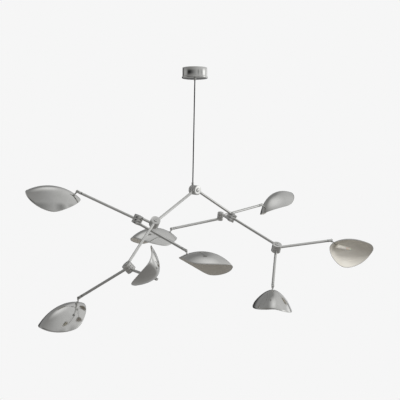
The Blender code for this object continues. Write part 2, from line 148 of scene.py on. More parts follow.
def dress(
    tree: NodeTree,
    share: NodeSocket,
    colours: tuple[str, str],
    height: NodeSocket | None = None,
    strength: float = 0.0,
    depth_mm: float = 0.05,
) -> None:
    """Lets one pattern choose between two colours, and another raise the surface.

    Args:
        tree: The material's nodes.
        share: The colours' pattern, from 0 for the first to 1 for the second.
        colours: Two sRGB hex colours.
        height: The surface's pattern, if it has one.
        strength: How strongly the surface shows.
        depth_mm: How high the surface's pattern stands.
    """
    shader = tree.nodes["Principled BSDF"]
    first, second = map(linear, colours)
    tint = add_node(tree, "ShaderNodeMix", {"data_type": "RGBA", 6: first, 7: second}, {"Factor": share})
    tree.links.new(tint.outputs[2], shader.inputs["Base Color"])
    if height is not None:
        bump = add_node(tree, "ShaderNodeBump", {"Strength": strength, "Distance": depth_mm * MM}, {"Height": height})
        tree.links.new(bump.outputs["Normal"], shader.inputs["Normal"])


@dataclass(frozen=True)
class PolishedNickel:
    """Nickel plate on steel, buffed by hand: a clear mirror with a faint haze in soft patches.

    The haze comes from the mop's strokes, a few centimetres apart. The plate's own ripple is under a
    millimetre, so it is drawn at 2 mm to show at all.
    """

    name: str = "polished_nickel"
    bright: str = "#dcdcda"
    hazy: str = "#cacac7"
    roughness: float = 0.07
    haze: float = 0.09
    stroke_mm: float = 34
    ripple_mm: float = 2

    def build(self) -> Material:
        """Makes the material."""
        material, tree, place = new_material(self.name, Metallic=1.0)
        strokes = add_node(
            tree,
            "ShaderNodeTexNoise",
            {"Scale": per_metre(self.stroke_mm), "Detail": 3.0, "Roughness": 0.55, "Distortion": 0.6},
            {"Vector": place},
        ).outputs["Fac"]
        haze = add_node(
            tree,
            "ShaderNodeMapRange",
            {"From Min": 0.35, "From Max": 0.7, "To Min": self.roughness, "To Max": self.roughness + self.haze},
            {"Value": strokes},
        ).outputs["Result"]
        tree.links.new(haze, tree.nodes["Principled BSDF"].inputs["Roughness"])
        ripple = add_node(
            tree, "ShaderNodeTexNoise", {"Scale": per_metre(self.ripple_mm), "Detail": 2.0}, {"Vector": place}
        ).outputs["Fac"]
        dress(tree, strokes, (self.bright, self.hazy), ripple, strength=0.02, depth_mm=0.1)
        return material


@dataclass(frozen=True)
class CreamEnamel:
    """Sprayed and baked enamel inside each shade: warm white, satin, with a fine orange peel.

    The peel of a sprayed coat is 1 to 2 mm across. The coat is a little thinner and darker in patches.
    """

    name: str = "cream_enamel"
    thick: str = "#efece4"
    thin: str = "#e2ddd2"
    roughness: float = 0.42
    peel_mm: float = 1.6
    patch_mm: float = 60

    def build(self) -> Material:
        """Makes the material."""
        material, tree, place = new_material(
            self.name, Roughness=self.roughness, IOR=1.5, Specular_IOR_Level=0.45
        )
        patches = add_node(
            tree, "ShaderNodeTexNoise", {"Scale": per_metre(self.patch_mm), "Detail": 2.0}, {"Vector": place}
        ).outputs["Fac"]
        peel = add_node(
            tree, "ShaderNodeTexNoise", {"Scale": per_metre(self.peel_mm), "Detail": 1.0}, {"Vector": place}
        ).outputs["Fac"]
        dress(tree, patches, (self.thick, self.thin), peel, strength=0.12)
        return material


@dataclass(frozen=True)
class MouldedNylon:
    """Injection-moulded nylon: an even, slightly waxy sheen with a spark-eroded grain of about 0.8 mm."""

    name: str
    colour: str
    worn: str
    roughness: float = 0.5
    grain_mm: float = 0.8

    def build(self) -> Material:
        """Makes the material."""
        material, tree, place = new_material(self.name, Roughness=self.roughness, IOR=1.53)
        grain = add_node(
            tree, "ShaderNodeTexNoise", {"Scale": per_metre(self.grain_mm), "Detail": 2.0}, {"Vector": place}
        ).outputs["Fac"]
        dress(tree, grain, (self.colour, self.worn), grain, strength=0.15)
        return material


@dataclass(frozen=True)
class ZincPlate:
    """Zinc-plated steel of the hidden strap and screw: satin, with 3 mm spangles of lighter grey."""

    name: str = "zinc_plated_steel"
    light: str = "#b9bbbc"
    dark: str = "#94979a"
    roughness: float = 0.38
    spangle_mm: float = 3

    def build(self) -> Material:
        """Makes the material."""
        material, tree, place = new_material(self.name, Metallic=1.0, Roughness=self.roughness)
        spangle = add_node(
            tree, "ShaderNodeTexVoronoi", {"Scale": per_metre(self.spangle_mm)}, {"Vector": place}
        ).outputs["Distance"]
        dress(tree, spangle, (self.light, self.dark))
        return material


@dataclass(frozen=True)
class FrostedGlass:
    """Acid-etched capsule lamp: milky, with an even soft sheen and a 1 mm cloudiness."""

    name: str = "frosted_glass"
    milky: str = "#f4f0e4"
    cloudy: str = "#e9e3d2"
    roughness: float = 0.3
    cloud_mm: float = 1

    def build(self) -> Material:
        """Makes the material."""
        material, tree, place = new_material(
            self.name, Roughness=self.roughness, IOR=1.5, Subsurface_Weight=0.3, Subsurface_Scale=3 * MM
        )
        cloud = add_node(
            tree, "ShaderNodeTexNoise", {"Scale": per_metre(self.cloud_mm), "Detail": 2.0}, {"Vector": place}
        ).outputs["Fac"]
        dress(tree, cloud, (self.milky, self.cloudy))
        return material


@dataclass(frozen=True)
class WovenSleeve:
    """Black braided sleeve of the suspension cable: dull yarn, each bundle about 1.2 mm wide."""

    name: str = "woven_cable_sleeve"
    yarn: str = "#161616"
    shade: str = "#060606"
    roughness: float = 0.75
    bundle_mm: float = 1.2

    def build(self) -> Material:
        """Makes the material."""
        material, tree, place = new_material(self.name, Roughness=self.roughness, Sheen_Weight=0.05)
        shader = tree.nodes["Principled BSDF"]
        turned = add_node(tree, "ShaderNodeMapping", {"Rotation": (0.0, 0.0, math.radians(45))}, {"Vector": place})
        weave = add_node(
            tree,
            "ShaderNodeTexChecker",
            {"Scale": per_metre(self.bundle_mm), "Color1": linear(self.yarn), "Color2": linear(self.shade)},
            {"Vector": turned.outputs["Vector"]},
        )
        tree.links.new(weave.outputs["Color"], shader.inputs["Base Color"])
        bump = add_node(
            tree, "ShaderNodeBump", {"Strength": 0.5, "Distance": 0.2 * MM}, {"Height": weave.outputs["Fac"]}
        ).outputs["Normal"]
        tree.links.new(bump, shader.inputs["Normal"])
        return material


@dataclass
class Finishes:
    """Every material of the light, made once."""

    nickel: Material = field(default_factory=lambda: PolishedNickel().build())
    enamel: Material = field(default_factory=lambda: CreamEnamel().build())
    # Painted shade: the black washer at each neck stands for the shadowed gap where the arm's end meets the neck.
    gap_shade_washer: Material = field(
        default_factory=lambda: MouldedNylon("black_washer_painted_gap_shade", "#1b1b1b", "#2a2a2a").build()
    )
    terminal: Material = field(
        default_factory=lambda: MouldedNylon("white_nylon_terminal", "#e6e2d6", "#d8d2c2").build()
    )
    zinc: Material = field(default_factory=lambda: ZincPlate().build())
    glass: Material = field(default_factory=lambda: FrostedGlass().build())
    sleeve: Material = field(default_factory=lambda: WovenSleeve().build())


# ---- Shaping ----


def axes_at(at: Vector, z_axis: Vector, x_hint: Vector | None = None) -> Matrix:
    """Makes a placement from a point and an axis.

    Args:
        at: The origin.
        z_axis: Where Z goes.
        x_hint: X is as near as it can be to this.

    Returns:
        The 4 x 4 placement.
    """
    z = z_axis.normalized()
    x = x_hint or Vector((1, 0, 0))
    if abs(x.normalized().dot(z)) > 0.95:
        x = Vector((0, 1, 0))
    x = (x - z * x.dot(z)).normalized()
    turn = Matrix((x, z.cross(x), z)).transposed()
    return Matrix.Translation(at) @ turn.to_4x4()


def lathe(profile: Profile, steps: int, ring: bool = False, ease: float = 0.0) -> BMesh:
    """Turns an outline round Z.

    Args:
        profile: Radius and height pairs.
        steps: Sides of the turned shape.
        ring: True if the outline closes on itself, False if its ends are capped.
        ease: Width of the bevel on its sharp edges.

    Returns:
        The turned shape, facing out.
    """
    shape = bmesh.new()
    points = [shape.verts.new((radius, 0, height)) for radius, height in profile]
    edges = [shape.edges.new(pair) for pair in zip(points, points[1:])]
    if ring:
        edges.append(shape.edges.new((points[-1], points[0])))
    bmesh.ops.spin(
        shape, geom=points + edges, cent=(0, 0, 0), axis=(0, 0, 1), angle=math.tau, steps=steps, use_merge=True
    )
    bmesh.ops.remove_doubles(shape, verts=shape.verts, dist=1e-6)
    bmesh.ops.holes_fill(shape, edges=shape.edges)
    bmesh.ops.recalc_face_normals(shape, faces=shape.faces)
    if ease:
        ease_edges(shape, ease)
    return shape


def ease_edges(shape: BMesh, width: float, segments: int = 2) -> None:
    """Bevels a shape's sharp edges.

    Args:
        shape: The shape to change.
        width: The bevel's width.
        segments: Faces across the bevel.
    """
    sharp = [edge for edge in shape.edges if edge.is_manifold and edge.calc_face_angle() > EASED_ANGLE]
    bmesh.ops.bevel(
        shape,
        geom=sharp,
        offset=width,
        offset_type="OFFSET",
        segments=segments,
        profile=0.5,
        affect="EDGES",
        clamp_overlap=True,
        material=-1,
    )


def block(size: tuple[float, float, float], centre: Vector, ease: float) -> BMesh:
    """Makes a box with eased edges.

    Args:
        size: Its three sides.
        centre: Its middle.
        ease: The width of its bevels.

    Returns:
        The box.
    """
    shape = bmesh.new()
    bmesh.ops.create_cube(shape, size=1)
    bmesh.ops.scale(shape, vec=size, verts=shape.verts)
    bmesh.ops.translate(shape, vec=centre, verts=shape.verts)
    ease_edges(shape, ease)
    return shape


def gather(parts: list[tuple[BMesh, Matrix]]) -> BMesh:
    """Puts several shapes, each at its placement, into one.

    Args:
        parts: Shapes and placements. The shapes are used up.

    Returns:
        The joined shape.
    """
    whole = bmesh.new()
    for shape, place in parts:
        bmesh.ops.transform(shape, matrix=place, verts=shape.verts)
        mesh = bpy.data.meshes.new("gathered")
        shape.to_mesh(mesh)
        shape.free()
        whole.from_mesh(mesh)
        bpy.data.meshes.remove(mesh)
    return whole


def make_piece(
    name: str,
    shape: BMesh,
    materials: list[Material],
    body: str,
    replaced: tuple[str, ...] = (),
) -> Object:
    """Turns a finished shape into a piece that rides on a body.

    Args:
        name: The piece's name.
        shape: The shape, in the object's frame. It is used up.
        materials: Its materials, in the order of its material numbers.
        body: The body that it rides on.
        replaced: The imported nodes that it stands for.

    Returns:
        The piece.
    """
    mesh = bpy.data.meshes.new(name)
    shape.to_mesh(mesh)
    shape.free()
    mesh.shade_smooth()
    mesh.set_sharp_from_angle(angle=SHARP_ANGLE)
    for material in materials:
        mesh.materials.append(material)
    piece = bpy.data.objects.new(name, mesh)
    bpy.context.scene.collection.objects.link(piece)
    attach(piece, body)
    if replaced:
        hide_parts(*replaced)
    LOG.info("%s: %d faces, on %s", name, len(mesh.polygons), body)
    return piece


JOINTS = {joint["name"]: joint for joint in frame["joints"]}


def joint_at(name: str) -> Vector:
    """Gives a joint's place."""
    return Vector(JOINTS[name]["pos_m"])


def joint_axis(name: str) -> Vector:
    """Gives a joint's axis."""
    return Vector(JOINTS[name]["axis"]).normalized()


# ---- The studio ----


@dataclass
class Studio:
    """The camera, the soft lights, the surroundings that the nickel mirrors, and the pale floor."""

    lens_mm: float = 105
    camera_at: tuple[float, float, float] = (0.024, -5.4, -0.683)
    tilt_up_deg: float = 0.74
    sensor_mm: float = 36
    backdrop: str = "#f6f6f6"
    floor_paint: str = "#f4f4f4"
    middle: tuple[float, float, float] = (0, 0, -0.7)
    floor_height: float = -2.4
    floor_radius: float = 3.0

    def add_camera(self) -> None:
        """Places the camera in front of the light."""
        data = bpy.data.cameras.new("camera")
        data.lens = self.lens_mm
        data.sensor_width = self.sensor_mm
        camera = bpy.data.objects.new("camera", data)
        camera.location = self.camera_at
        camera.rotation_euler = (math.radians(90 + self.tilt_up_deg), 0, 0)
        bpy.context.scene.collection.objects.link(camera)
        bpy.context.scene.camera = camera

    def add_surroundings(self) -> None:
        """Builds the world: an even pale backdrop, and, for light and reflections, a grey room that is darker on
        the left, with dark and bright uprights at eye height, a bright ceiling and a dim warm floor."""
        world = bpy.data.worlds.new("studio")
        bpy.context.scene.world = world
        world.use_nodes = True
        tree = world.node_tree
        tree.nodes.clear()
        ray = add_node(tree, "ShaderNodeTexCoord").outputs["Generated"]
        parts = add_node(tree, "ShaderNodeSeparateXYZ", links={"Vector": ray}).outputs
        towards = add_node(tree, "ShaderNodeMath", {"operation": "MULTIPLY", 1: -1.0}, {0: parts["Y"]}).outputs[0]
        turn = add_node(tree, "ShaderNodeMath", {"operation": "ARCTAN2"}, {0: parts["X"], 1: towards}).outputs[0]
        round_share = add_node(
            tree, "ShaderNodeMapRange", {"From Min": -math.pi, "From Max": math.pi}, {"Value": turn}
        ).outputs["Result"]
        rise = add_node(
            tree, "ShaderNodeMapRange", {"From Min": -1.0, "From Max": 1.0}, {"Value": parts["Z"]}
        ).outputs["Result"]
        room = self.ramp(tree, round_share, WALLS, (-180, 180))
        uprights = self.ramp(tree, round_share, UPRIGHTS, (-180, 180))
        at_eye = self.ramp(tree, rise, EYE_LEVEL, (-1, 1))
        ends = self.ramp(tree, rise, FLOOR_AND_CEILING, (-1, 1))
        at_ends = self.ramp(tree, rise, END_WEIGHT, (-1, 1))
        walls = add_node(
            tree, "ShaderNodeMix", {"data_type": "RGBA"}, {"Factor": at_eye, 6: room, 7: uprights}
        ).outputs[2]
        whole = add_node(
            tree, "ShaderNodeMix", {"data_type": "RGBA"}, {"Factor": at_ends, 6: walls, 7: ends}
        ).outputs[2]
        seen = add_node(tree, "ShaderNodeBackground", {"Color": linear(self.backdrop), "Strength": 1.0})
        lit = add_node(tree, "ShaderNodeBackground", {"Strength": 1.0}, {"Color": whole})
        path = add_node(tree, "ShaderNodeLightPath").outputs["Is Camera Ray"]
        both = add_node(
            tree, "ShaderNodeMixShader", links={"Fac": path, 1: lit.outputs[0], 2: seen.outputs[0]}
        ).outputs[0]
        add_node(tree, "ShaderNodeOutputWorld", links={"Surface": both})

    def ramp(
        self,
        tree: NodeTree,
        source: NodeSocket,
        stops: list[tuple[float, float, float]],
        span: tuple[float, float],
    ) -> NodeSocket:
        """Adds a ramp of greys.

        Args:
            tree: The world's nodes.
            source: What drives the ramp, from 0 to 1.
            stops: Each stop's place in the span, its brightness and its warmth.
            span: The values that 0 and 1 stand for.

        Returns:
            The ramp's colour.
        """
        ramp = add_node(tree, "ShaderNodeValToRGB", links={"Fac": source})
        elements = ramp.color_ramp.elements
        while len(elements) < len(stops):
            elements.new(0.5)
        for element, (at, bright, warm) in zip(elements, stops):
            element.position = (at - span[0]) / (span[1] - span[0])
            element.color = (bright * (1 + warm), bright, bright * (1 - warm), 1)
        return ramp.outputs["Color"]

    def add_floor(self) -> None:
        """Lays the pale floor, well below the light. It shows only from above."""
        shape = bmesh.new()
        bmesh.ops.create_circle(shape, cap_ends=True, segments=96, radius=self.floor_radius)
        bmesh.ops.translate(shape, vec=(0, 0, self.floor_height), verts=shape.verts)
        mesh = bpy.data.meshes.new("floor")
        shape.to_mesh(mesh)
        shape.free()
        material, tree, _ = new_material("floor_paint", Base_Color=linear(self.floor_paint), Roughness=0.9)
        paint = tree.nodes["Principled BSDF"]
        below = add_node(tree, "ShaderNodeNewGeometry").outputs["Backfacing"]
        clear = add_node(tree, "ShaderNodeBsdfTransparent").outputs["BSDF"]
        both = add_node(tree, "ShaderNodeMixShader", links={"Fac": below, 1: paint.outputs["BSDF"], 2: clear})
        tree.links.new(both.outputs["Shader"], tree.nodes["Material Output"].inputs["Surface"])
        mesh.materials.append(material)
        floor = bpy.data.objects.new("floor", mesh)
        bpy.context.scene.collection.objects.link(floor)
        floor.visible_glossy = False
        floor.visible_diffuse = False

    def add_light(self, name: str, at: Vector, size: tuple[float, float], power: float) -> None:
        """Hangs one soft box, facing the middle of the light.

        Args:
            name: The light's name.
            at: Its place.
            size: Its width and height.
            power: Its watts.
        """
        data = bpy.data.lights.new(name, "AREA")
        data.shape = "RECTANGLE"
        data.size, data.size_y = size
        data.energy = power
        lamp = bpy.data.objects.new(name, data)
        lamp.matrix_world = axes_at(at, at - Vector(self.middle))
        lamp.visible_glossy = False
        bpy.context.scene.collection.objects.link(lamp)

    def build(self) -> None:
        """Adds everything but the camera. Colours show as they are, with no film curve."""
        bpy.context.scene.view_settings.view_transform = "Standard"
        self.add_surroundings()
        self.add_floor()
        for name, at, size, power in SOFT_BOXES:
            self.add_light(name, Vector(at), size, power)


# Name, place, width and height, watts
SOFT_BOXES = [
    ("overhead_box", (-0.3, -0.9, 1.9), (2.2, 1.6), 24),
    ("front_box", (0.3, -3.4, 1.9), (2.0, 1.4), 120),
    ("right_box", (3.2, -1.6, -0.1), (0.7, 2.0), 14),
]
# Degrees round from the camera (minus is to its left), brightness, warmth
WALLS = [
    (-180, 0.30, 0.0), (-160, 0.28, 0.0), (-120, 0.31, 0.0), (-70, 0.30, 0.01), (-30, 0.34, 0.01),
    (0, 0.43, 0.0), (30, 0.56, 0.0), (70, 0.66, 0.0), (110, 0.72, 0.0), (140, 0.66, 0.0), (165, 0.54, 0.0),
    (180, 0.30, 0.0),
]
UPRIGHTS = [
    (-180, 0.08, 0.0), (-165, 0.02, 0.0), (-138, 0.03, 0.0), (-122, 0.42, 0.0), (-98, 0.46, 0.0),
    (-80, 0.34, 0.0), (-66, 0.04, 0.0), (-45, 0.03, 0.0), (-24, 0.14, 0.0), (0, 0.32, 0.0), (20, 0.50, 0.0),
    (36, 0.28, 0.0), (50, 0.66, 0.0), (62, 0.40, 0.0), (78, 0.70, 0.0), (90, 1.50, 0.0), (104, 1.50, 0.0),
    (118, 0.60, 0.0), (136, 1.20, 0.0), (148, 0.95, 0.0), (154, 0.10, 0.0), (162, 0.80, 0.0), (170, 0.40, 0.0),
    (180, 0.08, 0.0),
]
# Rise of the ray (-1 straight down, 1 straight up), brightness, warmth
EYE_LEVEL = [(-0.3, 0.0, 0.0), (-0.04, 1.0, 0.0), (0.14, 1.0, 0.0), (0.32, 0.0, 0.0)]
FLOOR_AND_CEILING = [(-1, 0.22, 0.03), (-0.4, 0.30, 0.02), (0.3, 0.5, 0.0), (0.9, 0.65, 0.0), (1, 0.9, 0.0)]
END_WEIGHT = [(-0.5, 1.0, 0.0), (-0.2, 0.0, 0.0), (0.82, 0.0, 0.0), (1, 1.0, 0.0)]


# ---- The canopy and the cable ----


@dataclass
class Canopy:
    """The cup and bottom plate at the ceiling, and the gland that clamps the cable."""

    finishes: Finishes
    body: str = "ceiling_group"
    wall: float = 1.2 * MM
    rolled_edge: float = 1.0 * MM
    lip_wall: float = 2.5 * MM
    gland_bore: float = 3.1 * MM
    gland_thread: float = 4.6 * MM
    nut_radius: float = 6.4 * MM
    tip_radius: float = 4.2 * MM

    def build(self) -> None:
        """Makes the cup, the plate and the gland, and finishes the hidden parts."""
        self.add_cup()
        self.add_plate()
        self.add_gland()
        for node, material in (
            ("ceiling_bracket", self.finishes.zinc),
            ("canopy_screw", self.finishes.zinc),
            ("terminal_block", self.finishes.terminal),
        ):
            mesh = frame["nodes"][node].data
            mesh.materials.clear()
            mesh.materials.append(material)
            LOG.info("%s: packed node with a finish", node)

    def add_cup(self) -> None:
        """Spins the open cup, with a small radius at its top edge."""
        low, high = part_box("canopy_cup")
        outer = high.x
        inner = outer - self.wall
        shape = lathe(
            [(outer, high.z), (outer, low.z), (inner, low.z), (inner, high.z)],
            CANOPY_STEPS,
            ring=True,
            ease=self.wall * 0.3,
        )
        make_piece("canopy_cup_shell", shape, [self.finishes.nickel], self.body, ("canopy_cup",))

    def add_plate(self) -> None:
        """Spins the bottom plate with its locating lip and a rounded edge."""
        low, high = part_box("canopy_plate")
        cup_low, cup_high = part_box("canopy_cup")
        radius = high.x
        lip = cup_high.x - self.wall - 0.4 * MM
        top = cup_low.z - 0.4 * MM
        edge = self.rolled_edge
        half = (top - low.z) / 2 - 0.2 * MM
        rim = []
        for step in range(7):
            angle = math.pi * step / 6
            rim.append((radius - edge * (1 - math.sin(angle)), top - 0.2 * MM - half + half * -math.cos(angle)))
        hole = self.gland_thread + 0.4 * MM
        shape = lathe(
            [(hole, top), (hole, low.z), (radius - edge * 2, low.z)]
            + rim
            + [
                (radius - edge * 2, top), (lip, top), (lip, high.z), (lip - self.lip_wall, high.z),
                (lip - self.lip_wall, top),
            ],
            CANOPY_STEPS,
            ring=True,
        )
        make_piece("canopy_plate_dish", shape, [self.finishes.nickel], self.body, ("canopy_plate",))

    def add_gland(self) -> None:
        """Spins the gland: a thread through the plate, a knurled nut and a tapered tip."""
        low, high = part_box("cable_grip")
        plate_low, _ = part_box("canopy_plate")
        shoulder = plate_low.z - 0.4 * MM
        outline = [(self.gland_bore, high.z), (self.gland_bore, low.z), (self.tip_radius, low.z)]
        outline += [(self.nut_radius - 0.8 * MM, low.z + 3.2 * MM)]
        height = low.z + 4 * MM
        ring_height = (shoulder - 0.6 * MM - height) / 3
        for _ in range(3):
            outline += [
                (self.nut_radius, height),
                (self.nut_radius, height + ring_height * 0.7),
                (self.nut_radius - 0.5 * MM, height + ring_height * 0.8),
            ]
            height += ring_height
        outline += [(self.nut_radius, shoulder), (self.gland_thread, shoulder), (self.gland_thread, high.z)]
        shape = lathe(outline, ROUND_STEPS, ring=True)
        make_piece("cable_gland", shape, [self.finishes.nickel], self.body, ("cable_grip",))


@dataclass
class SuspensionCable:
    """The braided cable, from the gland to the hub's socket, pulled straight by the weight below it."""

    finishes: Finishes
    radius: float = 2.75 * MM
    step: float = 13 * MM
    socket_depth: float = 8 * MM
    anchor_top: float = -12.5 * MM

    def build(self) -> None:
        """Lays the cable's seen length and its tail inside the canopy."""
        grip_low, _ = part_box("cable_grip")
        _, hub_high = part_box("hub_block")
        swivel = joint_at("hub_swivel")
        leaves = Vector((0, 0, grip_low.z))
        mouth = Vector((swivel.x, swivel.y, hub_high.z))
        end = mouth - Vector((0, 0, self.socket_depth))
        cable = self.lay("suspension_cable_run", [leaves, mouth, end])
        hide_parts("suspension_cable")
        self.lay("suspension_cable_tail", [Vector((0, 0, self.anchor_top)), leaves + Vector((0, 0, 0.2 * MM))])

    def lay(self, name: str, stops: list[Vector]) -> Object:
        """Makes a round cable through some stops.

        Args:
            name: The piece's name.
            stops: The points that it is pulled straight between.

        Returns:
            The cable, as a curve.
        """
        points = [stops[0]]
        for start, end in zip(stops, stops[1:]):
            count = math.ceil((end - start).length / self.step)
            points += [start.lerp(end, index / count) for index in range(1, count + 1)]
        curve = bpy.data.curves.new(name, "CURVE")
        curve.dimensions = "3D"
        curve.bevel_depth = self.radius
        curve.bevel_resolution = 4
        curve.use_fill_caps = True
        line = curve.splines.new("POLY")
        line.points.add(len(points) - 1)
        for made, point in zip(line.points, points):
            made.co = (*point, 1)
        curve.materials.append(self.finishes.sleeve)
        cable = bpy.data.objects.new(name, curve)
        bpy.context.scene.collection.objects.link(cable)
        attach(cable, "ceiling_group")
        LOG.info("%s: %d points", name, len(points))
        return cable


# ---- Knuckles and arms ----


@dataclass
class KnuckleSize:
    """The sizes of one knuckle's discs."""

    radius: float = 22 * MM
    pitch: float = 13 * MM
    gap: float = 0.4 * MM
    ease: float = 0.9 * MM
    hole: float = 5.2 * MM

    def disc(self) -> BMesh:
        """Turns one disc, bored for the pin, with eased rims."""
        half = (self.pitch - self.gap) / 2
        return lathe(
            [(self.hole, half), (self.hole, -half), (self.radius, -half), (self.radius, half)],
            ROUND_STEPS,
            ring=True,
            ease=self.ease,
        )

    def stack_half(self) -> float:
        """Gives half the height of three discs."""
        return self.pitch * 1.5 + self.gap / 2


BIG = KnuckleSize()
SMALL = KnuckleSize(radius=14.5 * MM, pitch=12.8 * MM, ease=0.8 * MM)


@dataclass
class PinShape:
    """A knuckle's pin: a plain shaft with a low head at each end, and a socket in each head."""

    shaft: float = 5 * MM
    head_radius: float = 9 * MM
    head_height: float = 2.6 * MM
    socket_radius: float = 3.2 * MM
    socket_depth: float = 1.4 * MM

    def shape(self, half: float) -> BMesh:
        """Turns the pin.

        Args:
            half: Half the height of the discs that it holds.

        Returns:
            The pin, along Z.
        """
        profile = [(self.socket_radius * 0.5, -half - self.head_height + self.socket_depth)]
        head = self.head()
        profile += [(radius, -half - height) for radius, height in head]
        profile += [(self.shaft, -half), (self.shaft, half)]
        profile += [(radius, half + height) for radius, height in reversed(head)]
        profile += [(self.socket_radius * 0.5, half + self.head_height - self.socket_depth)]
        return lathe(profile, ROUND_STEPS)

    def head(self) -> Profile:
        """Gives a head's outline from its socket to its underside, with heights above the discs."""
        low_dome = [
            (self.socket_radius, self.head_height - self.socket_depth), (self.socket_radius, self.head_height)
        ]
        crown = self.head_radius - self.socket_radius
        for step in range(1, 6):
            angle = math.pi / 2 * step / 5
            drop = self.head_height * 0.6 * (1 - math.cos(angle))
            low_dome.append((self.socket_radius + crown * math.sin(angle), self.head_height - drop))
        return low_dome + [(self.head_radius, 0.0)]


@dataclass
class Tube:
    """A drawn tube, brazed into a disc at one or both ends with a small fillet."""

    radius: float = 6 * MM
    bore: float = 4.8 * MM
    fillet: float = 1.4 * MM

    def shape(self, length: float, start: KnuckleSize, end: KnuckleSize | None, open_at: float) -> BMesh:
        """Turns the tube along Z, from knuckle centre 0 to length.

        Args:
            length: The distance to the arm's far end.
            start: The knuckle at its start.
            end: The knuckle at its end, or None on a lamp arm.
            open_at: How far short of the end a lamp arm's tube stops.

        Returns:
            The tube.
        """
        low = start.radius * 0.6
        high = length - end.radius * 0.6 if end else length - open_at
        outline = [(self.bore, high), (self.bore, low), (self.radius, low)]
        outline += self.fillet_points(start.radius, 1)
        if end:
            outline += self.fillet_points(length - end.radius, -1)
            outline += [(self.radius, high)]
        else:
            outline += [(self.radius, high - 0.5 * MM), (self.radius - 0.4 * MM, high)]
        return lathe(outline, THIN_STEPS, ring=True)

    def fillet_points(self, face: float, side: int) -> Profile:
        """Gives the brazing fillet's outline where the tube leaves a disc.

        Args:
            face: The disc's rim, along the tube.
            side: 1 where the tube runs on upwards from the disc, -1 where it runs up to one.

        Returns:
            Radius and height pairs, in rising order.
        """
        points = []
        for step in range(5):
            angle = math.pi / 2 * step / 4
            out = self.fillet * (1 - math.sin(angle))
            up = self.fillet * (1 - math.cos(angle))
            points.append((self.radius + out * 0.7, face + side * (up - 0.6 * MM)))
        return points if side > 0 else list(reversed(points))


@dataclass
class Branch:
    """An arm or link that ends in another knuckle.

    middle is the joint at the far knuckle's middle level, and other is the joint one level from it, on the
    side away from this arm's own disc. Where both joints are outer ones, between is True, and this arm's
    disc is in the middle.
    """

    node: str
    pin_node: str
    middle: str
    other: str
    between: bool = False
    start: KnuckleSize = field(default_factory=lambda: BIG)
    end: KnuckleSize = field(default_factory=lambda: BIG)

    def far_disc(self) -> Vector:
        """Gives the centre of this arm's far disc."""
        first, second = joint_at(self.middle), joint_at(self.other)
        return (first + second) / 2 if self.between else first * 2 - second

    def far_knuckle(self) -> Vector:
        """Gives the middle of the far knuckle."""
        return self.far_disc() if self.between else joint_at(self.middle)

    def build(self, finishes: Finishes) -> None:
        """Makes the arm and the pin that it carries.

        Args:
            finishes: The materials.
        """
        pivot = f"{self.node}_pivot"
        near, far = joint_at(pivot), self.far_disc()
        far_axis = joint_axis(self.middle)
        length = (far - near).length
        shape = gather(
            [
                (self.start.disc(), axes_at(near, joint_axis(pivot))),
                (self.end.disc(), axes_at(far, far_axis)),
                (Tube().shape(length, self.start, self.end, 0), axes_at(near, far - near)),
            ]
        )
        body = f"{self.node}_group"
        make_piece(f"{self.node}_tube", shape, [finishes.nickel], body, (self.node,))
        pin = gather([(PinShape().shape(self.end.stack_half()), axes_at(self.far_knuckle(), far_axis))])
        make_piece(f"{self.pin_node}_shaft", pin, [finishes.nickel], body, (self.pin_node,))


BRANCHES = [
    Branch("arm_left", "pin_left", "arm_left_lower_pivot", "link_left_pivot", between=True),
    Branch("arm_right", "pin_right", "arm_right_lower_pivot", "link_right_pivot"),
    Branch("arm_left_lower", "pin_left_lower", "lamp_arm_7_pivot", "lamp_arm_8_pivot"),
    Branch("arm_right_lower", "pin_right_lower", "lamp_arm_4_pivot", "lamp_arm_5_pivot"),
    Branch("link_left", "pin_left_upper", "lamp_arm_1_pivot", "lamp_arm_6_pivot"),
    Branch("link_right", "pin_right_upper", "lamp_arm_2_pivot", "lamp_arm_3_pivot", end=SMALL),
]
SMALL_KNUCKLE_ARMS = (2, 3)


@dataclass
class Hub:
    """The disc, pin and socket that hang on the cable."""

    finishes: Finishes
    size: KnuckleSize = field(default_factory=lambda: BIG)
    socket_radius: float = 5.8 * MM
    collar_radius: float = 7 * MM
    bore: float = 3.3 * MM
    bore_depth: float = 9 * MM

    def build(self) -> None:
        """Makes the hub as one brazed piece."""
        first, second = joint_at("arm_left_pivot"), joint_at("arm_right_pivot")
        axis = joint_axis("arm_left_pivot")
        own = first * 2 - second
        _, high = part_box("hub_block")
        rise = high.z - own.z
        radius = self.socket_radius
        collar = self.size.radius + 3 * MM
        outline = [
            (self.bore * 0.6, rise - self.bore_depth), (self.bore, rise - self.bore_depth + 0.8 * MM),
            (self.bore, rise - 0.4 * MM), (self.bore + 0.4 * MM, rise), (radius - 0.8 * MM, rise),
            (radius, rise - 0.8 * MM), (radius, collar + 1.2 * MM), (radius - 0.6 * MM, collar + 0.8 * MM),
            (radius - 0.6 * MM, collar), (radius, collar - 0.4 * MM), (radius, self.size.radius * 0.6),
        ]
        shape = gather(
            [
                (self.solid_disc(), axes_at(own, axis)),
                (PinShape().shape(self.size.stack_half()), axes_at(first, axis)),
                (lathe(outline, THIN_STEPS), Matrix.Translation(own)),
            ]
        )
        make_piece("hub_block_body", shape, [self.finishes.nickel], "hub", ("hub_block",))

    def solid_disc(self) -> BMesh:
        """Turns the hub's own disc, which is brazed to the pin."""
        half = (self.size.pitch - self.size.gap) / 2
        return lathe([(self.size.radius, -half), (self.size.radius, half)], ROUND_STEPS, ease=self.size.ease)


# ---- Shades ----


